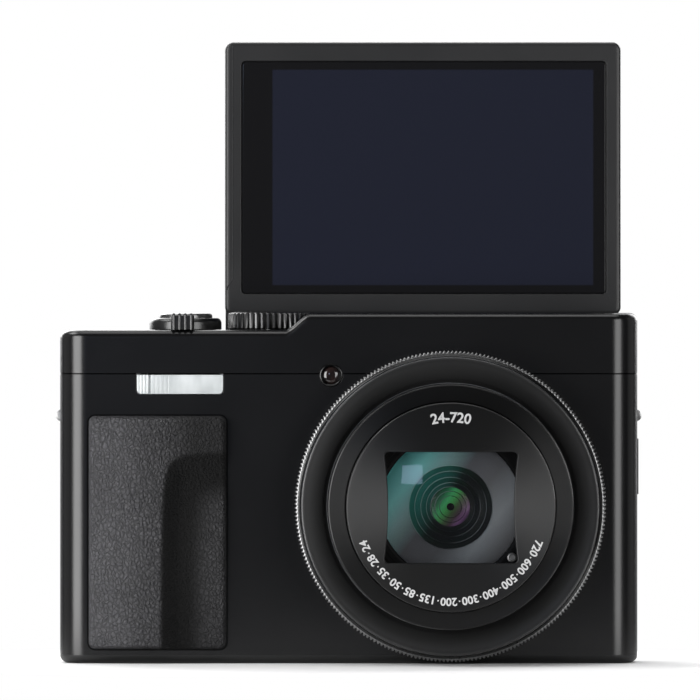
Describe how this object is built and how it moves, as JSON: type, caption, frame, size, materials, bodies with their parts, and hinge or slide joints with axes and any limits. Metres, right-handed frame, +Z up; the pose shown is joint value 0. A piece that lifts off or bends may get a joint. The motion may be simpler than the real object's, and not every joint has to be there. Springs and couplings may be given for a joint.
{
  "type": "compact camera",
  "caption": "Compact stills and video camera with a telescoping zoom lens, knurled control ring, padded grip and a screen that flips up to face the subject",
  "frame": {"origin": "centre of the tripod socket's mouth, in the plane of the base", "axes": "+Z up, the lens points along -Y, +X is the viewer's right when facing the lens"},
  "size_m": [0.1138, 0.0586, 0.1209],
  "materials": {
    "cover_black": "fine moulded satin black",
    "base_black": "fine matt black paint",
    "door_black": "satin black",
    "grip_rubber": "leather-grained black",
    "flash_clear": "ribbed clear",
    "reflector_bright": "polished",
    "lamp_red": "clear dark red",
    "lug_metal": "satin",
    "socket_brass": "machined",
    "steel": "plain",
    "board_green": "solder mask",
    "holder_grey": "moulded",
    "battery_case": "printed sleeve, left blank",
    "card_blue": "moulded",
    "eye_glass": "coated",
    "hinge_black": "satin black",
    "lens_black": "matt black",
    "barrel_black": "anodised black",
    "cam_metal": "machined",
    "ring_metal": "knurled, anodised black",
    "blade_black": "matt black",
    "lens_glass": "multi-coated",
    "sensor_face": "filter glass",
    "catch_orange": "moulded",
    "button_silver": "satin",
    "dial_black": "anodised black",
    "button_black": "satin black",
    "gimbal_grey": "moulded",
    "button_red": "moulded red",
    "screen_black": "satin black",
    "screen_glass": "dark cover glass",
    "display_dark": "display stack"
  },
  "bodies": {
    "camera_body": {"front_cover": "cover_black", "rear_cover": "cover_black", "top_cover": "cover_black", "bottom_plate": "base_black", "grip_pad": "grip_rubber", "thumb_rest": "grip_rubber", "flash_window": "flash_clear", "flash_reflector": "reflector_bright", "af_lamp_window": "lamp_red", "strap_lug_left": "lug_metal", "strap_lug_right": "lug_metal", "tripod_socket": "socket_brass", "body_screws": "steel", "main_board": "board_green", "battery_holder": "holder_grey", "battery": "battery_case", "memory_card": "card_blue", "hdmi_socket": "steel", "usb_socket": "steel", "eyepiece_frame": "cover_black", "eyepiece_lens": "eye_glass", "hinge_block": "hinge_black", "hinge_pin": "steel", "lens_base": "lens_black", "lens_shroud": "lens_black", "image_sensor": "sensor_face"},
    "battery_door": {"battery_door": "door_black"},
    "battery_latch": {"battery_latch": "door_black"},
    "battery_catch": {"battery_catch": "catch_orange"},
    "terminal_door": {"terminal_door": "door_black"},
    "shutter_button": {"shutter_button": "button_silver"},
    "zoom_lever": {"zoom_lever": "dial_black"},
    "mode_dial": {"mode_dial": "dial_black"},
    "power_button": {"power_button": "button_black"},
    "movie_button": {"movie_button": "button_red"},
    "playback_button": {"playback_button": "button_black"},
    "function_button": {"function_button": "button_black"},
    "viewfinder_button": {"viewfinder_button": "button_black"},
    "delete_button": {"delete_button": "button_black"},
    "dial_gimbal": {"dial_gimbal": "gimbal_grey"},
    "dial_base": {"dial_base": "button_black"},
    "control_dial": {"control_dial": "button_black"},
    "menu_button": {"menu_button": "button_black"},
    "diopter_dial": {"diopter_dial": "dial_black"},
    "screen": {"hinge_bracket": "hinge_black", "screen_frame": "screen_black", "screen_cover": "screen_black", "screen_glass": "screen_glass", "screen_module": "display_dark"},
    "control_ring": {"control_ring": "ring_metal"},
    "cam_ring": {"cam_ring": "cam_metal"},
    "outer_barrel": {"outer_barrel": "barrel_black"},
    "inner_barrel": {"inner_barrel": "barrel_black", "name_ring": "barrel_black", "front_lens": "lens_glass", "inner_lens_group": "lens_black"},
    "blade_upper_front": {"blade_upper_front": "blade_black"},
    "blade_upper_rear": {"blade_upper_rear": "blade_black"},
    "blade_lower_front": {"blade_lower_front": "blade_black"},
    "blade_lower_rear": {"blade_lower_rear": "blade_black"}
  },
  "joints": [
    {"name": "screen_flip", "type": "hinge", "parent": "camera_body", "child": "screen", "pos_m": [0, 0.01365, 0.062], "axis": [-1, 0, 0], "range_deg": [0, 180]},
    {"name": "barrel_zoom", "type": "slide", "parent": "camera_body", "child": "outer_barrel", "axis": [0, -1, 0], "range_m": [-0.0085, 0.0075]},
    {"name": "inner_zoom", "type": "slide", "parent": "outer_barrel", "child": "inner_barrel", "axis": [0, -1, 0], "range_m": [-0.0059, 0.0052]},
    {"name": "cam_turn", "type": "hinge", "parent": "camera_body", "child": "cam_ring", "pos_m": [0.0196, 0, 0.0305], "axis": [0, -1, 0], "range_deg": [-64, 56.5]},
    {"name": "ring_turn", "type": "hinge", "parent": "camera_body", "child": "control_ring", "pos_m": [0.0196, 0, 0.0305], "axis": [0, -1, 0], "continuous": true},
    {"name": "barrier_upper_rear", "type": "slide", "parent": "inner_barrel", "child": "blade_upper_rear", "axis": [0, 0, -1], "range_m": [0, 0.0109]},
    {"name": "barrier_upper_front", "type": "slide", "parent": "inner_barrel", "child": "blade_upper_front", "axis": [0, 0, -1], "range_m": [0, 0.00691]},
    {"name": "barrier_lower_rear", "type": "slide", "parent": "inner_barrel", "child": "blade_lower_rear", "axis": [0, 0, 1], "range_m": [0, 0.0109]},
    {"name": "barrier_lower_front", "type": "slide", "parent": "inner_barrel", "child": "blade_lower_front", "axis": [0, 0, 1], "range_m": [0, 0.00691]},
    {"name": "mode_turn", "type": "hinge", "parent": "camera_body", "child": "mode_dial", "pos_m": [-0.0151, 0.001, 0.0665], "axis": [0, 0, 1], "continuous": true},
    {"name": "zoom_tilt", "type": "hinge", "parent": "camera_body", "child": "zoom_lever", "pos_m": [-0.0317, -0.004, 0.066], "axis": [0, 0, 1], "range_deg": [-20, 20], "stiffness_Nm_per_rad": 0.02},
    {"name": "shutter_press", "type": "slide", "parent": "camera_body", "child": "shutter_button", "axis": [0, 0, -1], "range_m": [0, 0.0009], "stiffness_N_per_m": 700},
    {"name": "power_press", "type": "slide", "parent": "camera_body", "child": "power_button", "axis": [0, 0, -1], "range_m": [0, 0.0004], "stiffness_N_per_m": 900},
    {"name": "movie_press", "type": "slide", "parent": "camera_body", "child": "movie_button", "axis": [0, 0, -1], "range_m": [0, 0.0004], "stiffness_N_per_m": 900},
    {"name": "playback_press", "type": "slide", "parent": "camera_body", "child": "playback_button", "axis": [0, -1, 0], "range_m": [0, 0.0005], "stiffness_N_per_m": 900},
    {"name": "function_press", "type": "slide", "parent": "camera_body", "child": "function_button", "axis": [0, -1, 0], "range_m": [0, 0.0005], "stiffness_N_per_m": 900},
    {"name": "viewfinder_press", "type": "slide", "parent": "camera_body", "child": "viewfinder_button", "axis": [0, -1, 0], "range_m": [0, 0.0005], "stiffness_N_per_m": 900},
    {"name": "delete_press", "type": "slide", "parent": "camera_body", "child": "delete_button", "axis": [0, -1, 0], "range_m": [0, 0.0005], "stiffness_N_per_m": 900},
    {"name": "cursor_sideways", "type": "hinge", "parent": "camera_body", "child": "dial_gimbal", "pos_m": [-0.0405, 0.0084, 0.0225], "axis": [0, 0, 1], "range_deg": [-2.5, 2.5], "stiffness_Nm_per_rad": 0.25},
    {"name": "cursor_updown", "type": "hinge", "parent": "dial_gimbal", "child": "dial_base", "pos_m": [-0.0405, 0.0084, 0.0225], "axis": [1, 0, 0], "range_deg": [-2.5, 2.5], "stiffness_Nm_per_rad": 0.25},
    {"name": "wheel_turn", "type": "hinge", "parent": "dial_base", "child": "control_dial", "pos_m": [-0.0405, 0.012, 0.0225], "axis": [0, 1, 0], "continuous": true},
    {"name": "menu_press", "type": "slide", "parent": "dial_base", "child": "menu_button", "axis": [0, -1, 0], "range_m": [0, 0.0005], "stiffness_N_per_m": 900},
    {"name": "diopter_turn", "type": "hinge", "parent": "camera_body", "child": "diopter_dial", "pos_m": [0.0532, 0.004, 0.0614], "axis": [0, 0, 1], "range_deg": [-150, 150]},
    {"name": "battery_door_swing", "type": "hinge", "parent": "camera_body", "child": "battery_door", "pos_m": [-0.0143, -0.00125, 0.0011], "axis": [0, -1, 0], "range_deg": [0, 95]},
    {"name": "latch_slide", "type": "slide", "parent": "battery_door", "child": "battery_latch", "axis": [1, 0, 0], "range_m": [0, 0.003]},
    {"name": "catch_slide", "type": "slide", "parent": "camera_body", "child": "battery_catch", "axis": [-1, 0, 0], "range_m": [0, 0.0013], "stiffness_N_per_m": 250},
    {"name": "terminal_door_swing", "type": "hinge", "parent": "camera_body", "child": "terminal_door", "pos_m": [0.0555, -0.0046, 0.0381], "axis": [0, 0, -1], "range_deg": [0, 95]}
  ],
  "couplings": [
    {"joint": "inner_zoom", "follows": "barrel_zoom", "ratio": 0.69},
    {"joint": "cam_turn", "follows": "barrel_zoom", "rad_per_m": 130.9},
    {"joint": "barrier_upper_front", "follows": "barrier_upper_rear", "ratio": 0.6339},
    {"joint": "barrier_lower_rear", "follows": "barrier_upper_rear", "ratio": 1},
    {"joint": "barrier_lower_front", "follows": "barrier_upper_rear", "ratio": 0.6339}
  ]
}
